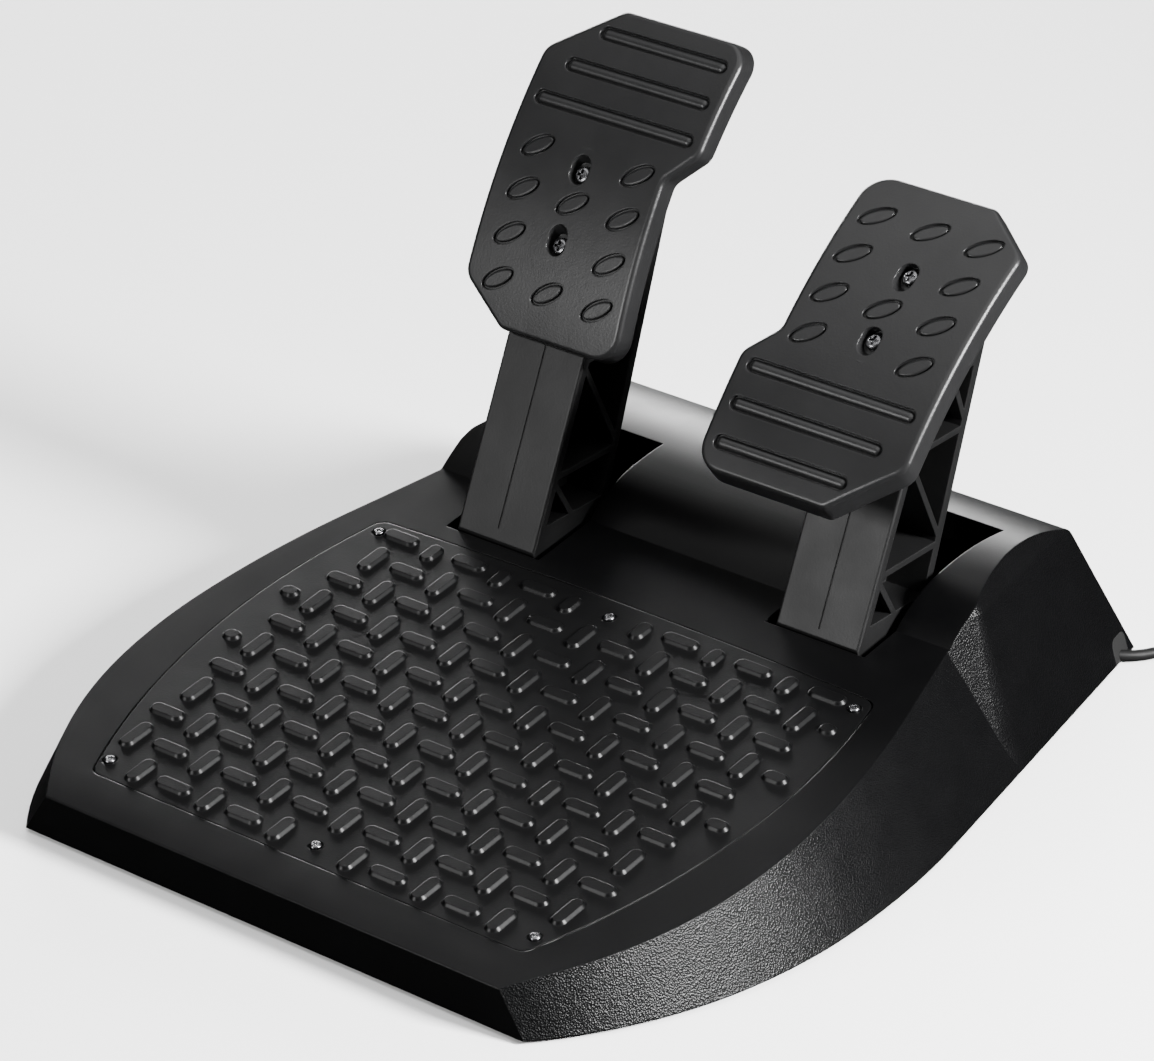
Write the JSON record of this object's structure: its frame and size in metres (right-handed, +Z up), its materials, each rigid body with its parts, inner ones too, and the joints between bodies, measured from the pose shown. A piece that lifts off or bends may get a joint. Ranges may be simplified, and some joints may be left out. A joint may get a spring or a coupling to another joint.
{
  "type": "two-pedal floor unit for a racing wheel",
  "caption": "Black two-pedal floor unit for a racing wheel: sloping base with a tread plate, sprung brake and accelerator pedals on moulded arms, and a thin signal cable.",
  "frame": {"origin": "on the floor under the centre of the base, cable left out", "axes": "+X to the driver's right, -Y towards the driver, +Z up"},
  "size_m": [0.3439, 0.3994, 0.2083],
  "materials": {
    "housing_plastic": "grained",
    "cover_plastic": "matte",
    "tread_plastic": "satin",
    "arm_plastic": "matte",
    "pad_plastic": "satin",
    "rubber": "matte",
    "cable_jacket": "satin",
    "clear_plastic": "polished",
    "board": "lacquered",
    "nylon": "satin",
    "spring_steel": "drawn",
    "steel": "zinc plated"
  },
  "bodies": {
    "base": {"accelerator_axle": "steel", "accelerator_potentiometer": "steel", "accelerator_sensor_leads": "cable_jacket", "accelerator_stop_rubber": "rubber", "bearing_cap_screws": "steel", "bearing_caps": "nylon", "board_connectors": "nylon", "board_screws": "steel", "bottom_cover": "cover_plastic", "brake_axle": "steel", "brake_potentiometer": "steel", "brake_sensor_leads": "cable_jacket", "brake_stop_rubber": "rubber", "cable_clamp": "cover_plastic", "cable_clamp_screws": "steel", "cable_coil": "cable_jacket", "cable_grommet": "rubber", "cable_plug": "clear_plastic", "cable_tail": "cable_jacket", "cable_tie": "cable_jacket", "circuit_board": "board", "housing_screws": "steel", "inner_cable": "cable_jacket", "plug_boot": "cable_jacket", "potentiometer_nuts": "steel", "rubber_feet": "rubber", "signal_cable": "cable_jacket", "top_housing": "housing_plastic", "tread_plate": "tread_plastic", "tread_plate_screws": "steel"},
    "brake_pedal": {"brake_arm": "arm_plastic", "brake_pad": "pad_plastic", "brake_pad_screws": "steel", "brake_gear_sector": "nylon", "brake_sector_screws": "steel", "brake_bushes": "nylon", "brake_return_spring": "spring_steel"},
    "accelerator_pedal": {"accelerator_arm": "arm_plastic", "accelerator_pad": "pad_plastic", "accelerator_pad_screws": "steel", "accelerator_gear_sector": "nylon", "accelerator_sector_screws": "steel", "accelerator_bushes": "nylon", "accelerator_return_spring": "spring_steel"},
    "brake_sensor_rotor": {"brake_sensor_shaft": "steel", "brake_sensor_pinion": "nylon"},
    "accelerator_sensor_rotor": {"accelerator_sensor_shaft": "steel", "accelerator_sensor_pinion": "nylon"}
  },
  "joints": [
    {"name": "brake_pivot", "type": "hinge", "parent": "base", "child": "brake_pedal", "pos_m": [-0.0624, 0.036, 0.0215], "axis": [-1, 0, 0], "range_deg": [0, 18], "stiffness_Nm_per_rad": 6, "springref_deg": -8.59, "deforming": ["brake_return_spring"]},
    {"name": "brake_sensor_spin", "type": "hinge", "parent": "base", "child": "brake_sensor_rotor", "pos_m": [-0.0624, 0.00595, 0.0215], "axis": [-1, 0, 0], "range_deg": [-73, 1]},
    {"name": "accelerator_pivot", "type": "hinge", "parent": "base", "child": "accelerator_pedal", "pos_m": [0.0657, 0.0454, 0.0215], "axis": [-1, 0, 0], "range_deg": [0, 25], "stiffness_Nm_per_rad": 2.5, "springref_deg": -8.59, "deforming": ["accelerator_return_spring"]},
    {"name": "accelerator_sensor_spin", "type": "hinge", "parent": "base", "child": "accelerator_sensor_rotor", "pos_m": [0.0657, 0.01535, 0.0215], "axis": [-1, 0, 0], "range_deg": [-101, 1]}
  ],
  "couplings": [
    {"joint": "brake_sensor_spin", "follows": "brake_pivot", "ratio": -4},
    {"joint": "accelerator_sensor_spin", "follows": "accelerator_pivot", "ratio": -4}
  ]
}
